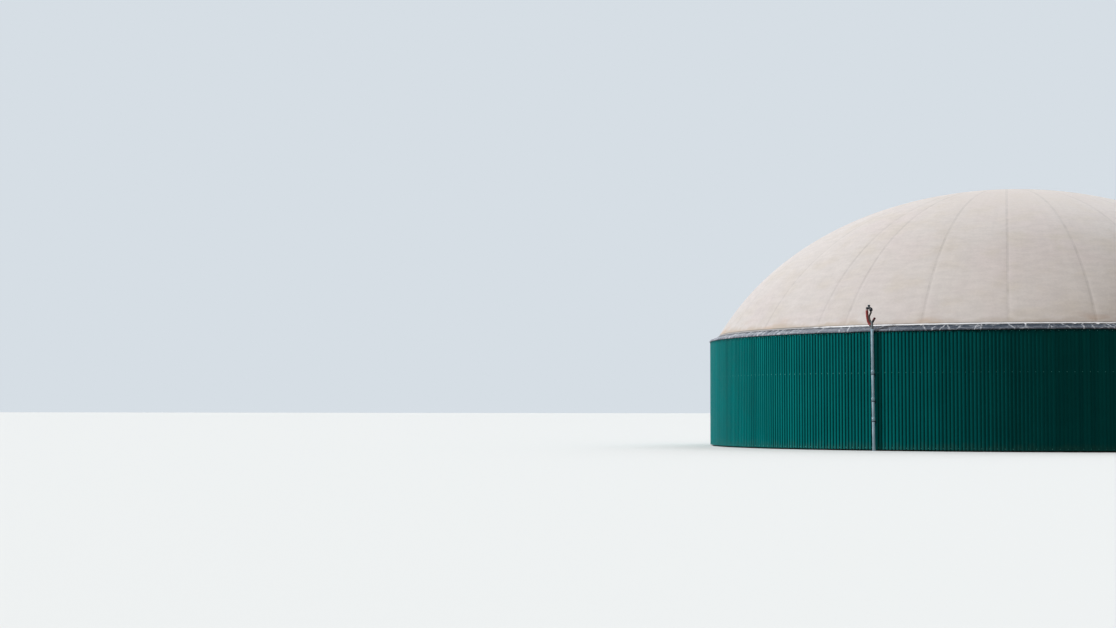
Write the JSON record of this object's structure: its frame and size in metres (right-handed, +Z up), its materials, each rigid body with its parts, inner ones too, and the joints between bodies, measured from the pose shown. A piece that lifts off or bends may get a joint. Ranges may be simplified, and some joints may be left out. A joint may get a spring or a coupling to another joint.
{
  "type": "biogas digester",
  "caption": "Round concrete digester tank clad in ribbed green steel sheet, with a dark weather apron, an air-borne membrane dome and a plastic riser pipe.",
  "frame": {"origin": "centre of the floor slab's underside, on the ground", "axes": "+Z up along the tank's axis; the riser pipe stands 22.5 degrees from -Y towards -X; -Y faces the picture's viewer"},
  "size_m": [25.06, 25.06, 10.716],
  "materials": {
    "concrete": "cast concrete, matt",
    "timber": "rough-sawn, weathered",
    "green_sheet": "coil-coated, semi-gloss",
    "slate_membrane": "coated fabric, wrinkled",
    "beige_membrane": "coated fabric, taut, matt",
    "white_plastic": "satin",
    "grey_plastic": "satin",
    "red_plastic": "weathered",
    "black_plastic": "satin",
    "blue_grey_plastic": "semi-gloss",
    "pale_rubber": "matt",
    "galvanised": "galvanised"
  },
  "bodies": {
    "root": {"floor_slab": "concrete", "tank_wall_1": "concrete", "tank_wall_2": "concrete", "tank_wall_3": "concrete", "tank_wall_4": "concrete", "tank_wall_5": "concrete", "tank_wall_6": "concrete", "tank_wall_7": "concrete", "tank_wall_8": "concrete", "bottom_rail": "timber", "middle_rail": "timber", "top_rail": "timber", "cladding_1": "green_sheet", "cladding_2": "green_sheet", "cladding_3": "green_sheet", "cladding_4": "green_sheet", "cladding_5": "green_sheet", "cladding_6": "green_sheet", "cladding_7": "green_sheet", "cladding_8": "green_sheet", "weather_apron_1": "slate_membrane", "weather_apron_2": "slate_membrane", "weather_apron_3": "slate_membrane", "weather_apron_4": "slate_membrane", "weather_apron_5": "slate_membrane", "weather_apron_6": "slate_membrane", "weather_apron_7": "slate_membrane", "weather_apron_8": "slate_membrane", "clamping_strip": "white_plastic", "dome_membrane": "beige_membrane", "riser_pipe_1": "grey_plastic", "riser_pipe_2": "grey_plastic", "riser_pipe_3": "grey_plastic", "riser_pipe_4": "grey_plastic", "pipe_bracket_1": "galvanised", "pipe_bracket_2": "galvanised", "pipe_bracket_3": "galvanised", "branch_fitting": "grey_plastic", "stub_socket": "black_plastic", "side_stub": "red_plastic", "elbow_pipe": "red_plastic", "valve_collar": "pale_rubber", "valve_body": "black_plastic", "valve_knob": "blue_grey_plastic", "return_pipe": "grey_plastic"}
  },
  "joints": []
}
